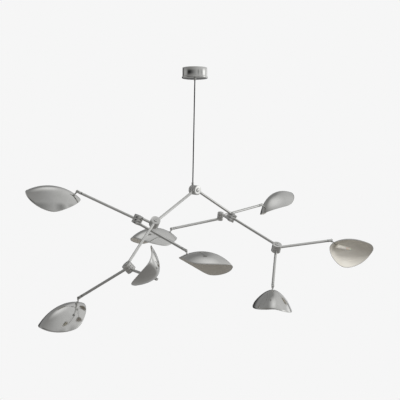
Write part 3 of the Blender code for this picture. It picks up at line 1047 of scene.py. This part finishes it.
@dataclass
class ShadeForm:
    """The bent oval sheet. Its X runs along the ridge, its Y across, and Z is out of the ridge's top."""

    half_length: float = 139 * MM
    half_width: float = 125 * MM
    lengthwise_radius: float = 197 * MM
    fold_angle: float = 0.42
    fold_spread: float = 22.4 * MM
    flank_curl: float = 6.1
    rear_power: float = 0.64
    free_power: float = 0.43
    wall: float = 1.4 * MM
    stem_at: float = -0.7
    stem_hole: float = 3.6 * MM
    rings: int = 34
    sides: int = 132
    table: list[tuple[float, float]] = field(default_factory=list)
    table_step: float = 1 * MM
    trim: float = 0.975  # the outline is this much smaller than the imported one, so that the hem fits in its box

    def __post_init__(self) -> None:
        """Works out how far out and down the bend takes each point across the sheet."""
        out = down = 0.0
        self.table = [(0.0, 0.0)]
        for index in range(int(self.half_width * 1.1 / self.table_step) + 1):
            distance = (index + 0.5) * self.table_step
            angle = self.fold_angle * math.tanh(distance / self.fold_spread) + self.flank_curl * distance
            out += self.table_step * math.cos(angle)
            down += self.table_step * math.sin(angle)
            self.table.append((out, down))

    def fold(self, distance: float) -> tuple[float, float]:
        """Gives how far out and down a point at this distance from the ridge is."""
        place = distance / self.table_step
        index = min(int(place), len(self.table) - 2)
        share = place - index
        (out_a, down_a), (out_b, down_b) = self.table[index], self.table[index + 1]
        return out_a + (out_b - out_a) * share, down_a + (down_b - down_a) * share

    def ridge(self, along: float) -> tuple[Vector, Vector]:
        """Gives a point on the ridge and the outward direction there, with along from -1 to 1."""
        turn = self.half_length * along / self.lengthwise_radius
        outward = Vector((math.sin(turn), 0, math.cos(turn)))
        return self.lengthwise_radius * (outward - Vector((0, 0, 1))), outward

    def point(self, along: float, across: float) -> Vector:
        """Gives the bent place of a point of the flat sheet.

        Args:
            along: From -1 at the rear tip to 1 at the free tip.
            across: Distance from the ridge, in metres.

        Returns:
            The point on the shade's outside.
        """
        ridge, outward = self.ridge(along)
        out, down = self.fold(abs(across))
        return ridge - outward * down + Vector((0, math.copysign(out, across), 0))

    def edge(self, angle: float) -> tuple[float, float]:
        """Gives the flat sheet's outline at an angle round it: along, and across in metres."""
        along = math.cos(angle)
        power = self.rear_power if along < 0 else self.free_power
        width = self.half_width * max(0.0, 1 - along * along) ** power
        return along * self.trim, math.copysign(width * self.trim, math.sin(angle))

    def sheet(self) -> BMesh:
        """Spins a flat ring of faces, then moves its points onto the bent oval round the stem's hole."""
        shape = bmesh.new()
        points = [shape.verts.new((1 + ring, 0, 0)) for ring in range(self.rings + 1)]
        edges = [shape.edges.new(pair) for pair in zip(points, points[1:])]
        bmesh.ops.spin(
            shape,
            geom=points + edges,
            cent=(0, 0, 0),
            axis=(0, 0, 1),
            angle=math.tau,
            steps=self.sides,
            use_merge=True,
        )
        for vert in shape.verts:
            radius = math.hypot(vert.co.x, vert.co.y)
            angle = math.atan2(vert.co.y, vert.co.x)
            vert.co = self.point(*self.spread((radius - 1) / self.rings, angle))
        bmesh.ops.recalc_face_normals(shape, faces=shape.faces)
        if sum(face.normal.z * face.calc_area() for face in shape.faces) < 0:
            bmesh.ops.reverse_faces(shape, faces=shape.faces)
        return shape

    def spread(self, share: float, angle: float) -> tuple[float, float]:
        """Places a ring's point between the stem's hole and the outline.

        Args:
            share: 0 at the hole, 1 at the outline.
            angle: Round the sheet.

        Returns:
            Along and across, on the flat sheet.
        """
        end_along, end_across = self.edge(angle)
        x_metres = (end_along - self.stem_at) * self.half_length
        towards = math.atan2(end_across, x_metres)
        hole_along = self.stem_at + self.stem_hole * math.cos(towards) / self.half_length
        hole_across = self.stem_hole * math.sin(towards)
        eased = max(0.0, share) ** 1.25
        return hole_along + (end_along - hole_along) * eased, hole_across + (end_across - hole_across) * eased

    def hem(self, radius: float) -> BMesh:
        """Rolls a fine bead round the outline.

        Args:
            radius: The bead's radius.

        Returns:
            The bead, as a closed loop.
        """
        shape = bmesh.new()
        inset = 1 - radius / self.half_length
        centres = [
            self.point(along * inset, across * inset) - self.ridge(along)[1] * self.wall / 2
            for along, across in (self.edge(math.tau * side / self.sides) for side in range(self.sides))
        ]
        loops = []
        for index, centre in enumerate(centres):
            onward = centres[(index + 1) % self.sides] - centres[index - 1]
            made = bmesh.ops.create_circle(shape, segments=8, radius=radius, matrix=axes_at(centre, onward))
            verts = made["verts"]
            loops.append(list({edge for vert in verts for edge in vert.link_edges}))
        for index, loop in enumerate(loops):
            bmesh.ops.bridge_loops(shape, edges=loop + loops[(index + 1) % len(loops)])
        bmesh.ops.recalc_face_normals(shape, faces=shape.faces)
        return shape


@dataclass
class LampEnd:
    """A lamp arm, its swivel neck, and the shade, holder and lamp that tilt on it."""

    number: int
    turn_deg: tuple[float, float, float]
    finishes: Finishes
    form: ShadeForm
    stem_rise: float = 20 * MM
    stem_radius: float = 3 * MM
    collar_radius: float = 6 * MM
    collar_height: float = 3 * MM
    neck_radius: float = 6.4 * MM
    neck_start: float = 22 * MM
    neck_end: float = 7.4 * MM
    gap_shade_washer_height: float = 1.8 * MM
    gap_shade_washer_bore: float = 3.3 * MM
    tab: float = 5 * MM
    gap: float = 0.4 * MM
    cross_pin: float = 1.6 * MM
    cross_pin_head: float = 3.2 * MM
    holder_radius: float = 12 * MM
    holder_start: float = -88 * MM
    holder_length: float = 50 * MM
    holder_depth: float = -42 * MM
    holder_cup: float = 8.6 * MM
    holder_cup_depth: float = 14 * MM
    hem_radius: float = 1.05 * MM
    lamp_radius: float = 7.5 * MM
    lamp_length: float = 52 * MM

    def __post_init__(self) -> None:
        """Reads the neck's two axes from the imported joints, and places the shade on them."""
        self.end = joint_at(f"shade_{self.number}_tilt")
        self.along = joint_axis(f"shade_{self.number}_roll")
        self.tilt_place = axes_at(self.end, joint_axis(f"shade_{self.number}_tilt"), self.along)
        yaw, pitch, roll = (math.radians(angle) for angle in self.turn_deg)
        turn = Matrix.Rotation(yaw, 4, "Z") @ Matrix.Rotation(pitch, 4, "Y") @ Matrix.Rotation(roll, 4, "X")
        seat, outward = self.form.ridge(self.form.stem_at)
        self.shade_place = Matrix.Translation(self.end - turn @ (seat + outward * self.stem_rise)) @ turn
        self.stem_place = self.shade_place @ axes_at(seat, outward)

    def build(self) -> None:
        """Makes every piece of this lamp's end."""
        self.add_arm()
        self.add_neck()
        self.add_shade()
        self.add_holder()
        self.add_lamp()

    def add_arm(self) -> None:
        """Makes the lamp arm: a disc and an open tube."""
        pivot = f"lamp_arm_{self.number}_pivot"
        size = SMALL if self.number in SMALL_KNUCKLE_ARMS else BIG
        near = joint_at(pivot)
        length = (self.end - near).length
        shape = gather(
            [
                (size.disc(), axes_at(near, joint_axis(pivot))),
                (Tube().shape(length, size, None, self.neck_start + self.gap), axes_at(near, self.end - near)),
            ]
        )
        node = f"lamp_arm_{self.number}"
        make_piece(f"{node}_tube", shape, [self.finishes.nickel], f"{node}_group", (node,))

    def add_neck(self) -> None:
        """Makes the neck: barrel, tab and cross pin, with a black washer where it meets the arm. The washer's black
        is painted shade: it stands for the shadowed gap between the arm's end and the neck.
        """
        body = f"neck_group_{self.number}"
        roll_place = axes_at(self.end - self.along * self.neck_start, self.along)
        barrel_end = self.neck_start - self.neck_end
        low = self.gap_shade_washer_height
        radius = self.neck_radius
        barrel = lathe(
            [
                (radius, low), (radius, barrel_end * 0.55), (radius - 0.5 * MM, barrel_end * 0.58),
                (radius - 0.5 * MM, barrel_end * 0.66), (radius, barrel_end * 0.69), (radius, barrel_end),
            ],
            THIN_STEPS,
            ease=0.5 * MM,
        )
        half = self.tab / 2
        ear_place = self.tilt_place @ Matrix.Translation((0, 0, half + self.gap / 2))
        ear = lathe([(radius, -half), (radius, half)], THIN_STEPS, ease=0.6 * MM)
        web = block(
            (self.neck_end + OVERLAP, radius * 1.5, self.tab - self.gap),
            Vector((-(self.neck_end + OVERLAP) / 2, 0, 0)),
            0.5 * MM,
        )
        far = self.tab + self.gap * 2
        pin = lathe(
            [
                (self.cross_pin_head * 0.4, -far - 0.9 * MM), (self.cross_pin_head * 0.5, -far - 1.4 * MM),
                (self.cross_pin_head * 0.85, -far - 1.4 * MM), (self.cross_pin_head, -far - 1 * MM),
                (self.cross_pin_head, -far), (self.cross_pin, -far), (self.cross_pin, half),
            ],
            THIN_STEPS,
        )
        shape = gather([(barrel, roll_place), (ear, ear_place), (web, ear_place), (pin, self.tilt_place)])
        node = f"neck_{self.number}"
        make_piece(f"{node}_swivel", shape, [self.finishes.nickel], body, (node,))
        # The washer is black as painted shade of the gap between the arm's end and the neck.
        bore, rim = self.gap_shade_washer_bore, radius - 0.3 * MM
        gap_shade_washer = lathe([(bore, 0), (rim, 0), (rim, low), (bore, low)], THIN_STEPS, ring=True)
        bmesh.ops.transform(gap_shade_washer, matrix=roll_place, verts=gap_shade_washer.verts)
        make_piece(f"{node}_washer", gap_shade_washer, [self.finishes.gap_shade_washer], body)

    def add_shade(self) -> None:
        """Makes the shade: nickel outside, enamel inside, with a rolled hem."""
        shape = self.form.sheet()
        bmesh.ops.transform(shape, matrix=self.shade_place, verts=shape.verts)
        body = f"shade_group_{self.number}"
        node = f"shade_{self.number}"
        shade = make_piece(f"{node}_bowl", shape, [self.finishes.nickel, self.finishes.enamel], body, (node,))
        wall = shade.modifiers.new("wall", "SOLIDIFY")
        wall.thickness = self.form.wall
        wall.offset = -1
        wall.use_even_offset = True
        wall.material_offset = 1
        wall.material_offset_rim = 0
        hem = self.form.hem(self.hem_radius)
        bmesh.ops.transform(hem, matrix=self.shade_place, verts=hem.verts)
        make_piece(f"{node}_hem", hem, [self.finishes.nickel], body)

    def add_holder(self) -> None:
        """Makes the stem with its collar and nut, and the lamp holder below it."""
        seat, outward = self.form.ridge(self.form.stem_at)
        below = (seat.z - self.holder_depth) / outward.z
        radius = self.stem_radius
        neck_low = self.stem_rise - self.neck_radius - 1 * MM
        nut_low = -self.form.wall - 3.4 * MM
        nut_high = -self.form.wall - 0.4 * MM
        stem = lathe(
            [
                (radius, -below), (radius, nut_low), (self.collar_radius * 0.9, nut_low),
                (self.collar_radius * 0.9, nut_high), (radius, nut_high), (radius, self.gap),
                (self.collar_radius, self.gap), (self.collar_radius, self.gap + self.collar_height * 0.6),
                (self.collar_radius * 0.8, self.gap + self.collar_height),
                (radius, self.gap + self.collar_height), (radius, neck_low),
            ],
            THIN_STEPS,
        )
        half = self.tab / 2
        eye_place = self.tilt_place @ Matrix.Translation((0, 0, -half - self.gap / 2))
        bore = self.cross_pin + 0.2 * MM
        eye = lathe(
            [(bore, half), (bore, -half), (self.neck_radius, -half), (self.neck_radius, half)],
            THIN_STEPS,
            ring=True,
            ease=0.5 * MM,
        )
        reach = eye_place.inverted() @ self.stem_place @ Vector((0, 0, neck_low))
        reach.z = 0
        web = block((self.tab, self.neck_radius, reach.length * 0.9), Vector((0, 0, reach.length * 0.85)), 0.5 * MM)
        web_place = eye_place @ axes_at(Vector((0, 0, 0)), reach, Vector((0, 0, 1)))
        body_place = self.shade_place @ axes_at(
            Vector((self.holder_start, 0, self.holder_depth)), Vector((1, 0, 0)), Vector((0, 0, 1))
        )
        node = f"lamp_holder_{self.number}"
        group = f"shade_group_{self.number}"
        fitting = gather([(stem, self.stem_place), (eye, eye_place), (web, web_place)])
        make_piece(f"{node}_stem", fitting, [self.finishes.nickel], group, (node,))
        body = gather([(self.holder_shape(), body_place)])
        make_piece(f"{node}_socket", body, [self.finishes.enamel], group)

    def holder_shape(self) -> BMesh:
        """Turns the holder: a domed back, a body with two grooves, and a cup for the lamp."""
        radius, length = self.holder_radius, self.holder_length
        outline: Profile = []
        for step in range(6):
            angle = math.pi / 2 * step / 5
            outline.append((radius - 4 * MM + 4 * MM * math.sin(angle), 4 * MM * (1 - math.cos(angle))))
        for groove in (0.55, 0.66):
            outline += [
                (radius, length * groove), (radius - 0.7 * MM, length * groove + 0.7 * MM),
                (radius - 0.7 * MM, length * groove + 1.6 * MM), (radius, length * groove + 2.3 * MM),
            ]
        floor = length - self.holder_cup_depth
        outline += [
            (radius, length - 0.6 * MM), (radius - 0.6 * MM, length), (self.holder_cup + 0.4 * MM, length),
            (self.holder_cup, length - 0.4 * MM), (self.holder_cup, floor),
        ]
        return lathe(outline, ROUND_STEPS)

    def add_lamp(self) -> None:
        """Makes the capsule lamp, with a round end."""
        radius = self.lamp_radius
        outline: Profile = [
            (radius - 1 * MM, self.gap),
            (radius - 1 * MM, self.holder_cup_depth - 4 * MM),
            (radius, self.holder_cup_depth - 2 * MM),
        ]
        shoulder = self.lamp_length - radius
        for step in range(10):
            angle = math.pi / 2 * step / 10
            outline.append((radius * math.cos(angle), shoulder + radius * 0.98 * math.sin(angle)))
        at = Vector((self.holder_start + self.holder_length - self.holder_cup_depth, 0, self.holder_depth))
        shape = gather([(lathe(outline, THIN_STEPS), self.shade_place @ axes_at(at, Vector((1, 0, 0))))])
        node = f"lamp_{self.number}"
        body = f"shade_group_{self.number}"
        make_piece(f"{node}_capsule", shape, [self.finishes.glass], body, (node,))


# Yaw, pitch and roll of each shade, in degrees
SHADE_TURNS = {
    1: (-168, -8, -30),
    2: (54, -26, -17),
    3: (-139, 0, -2),
    4: (32, 11, -48),
    5: (-90, 12, -6),
    6: (-24, 6, -19),
    7: (-137, 23, -16),
    8: (-86, -16, -117),
}


def main() -> None:
    """Builds the studio and the light, piece by piece."""
    logging.basicConfig(level=logging.INFO, format="%(message)s")
    studio = Studio()
    studio.add_camera()
    finishes = Finishes()
    SuspensionCable(finishes).build()
    Canopy(finishes).build()
    Hub(finishes).build()
    for branch in BRANCHES:
        branch.build(finishes)
    form = ShadeForm()
    for number, turn in SHADE_TURNS.items():
        LampEnd(number, turn, finishes, form).build()
    studio.build()


if __name__ == "__main__":
    main()
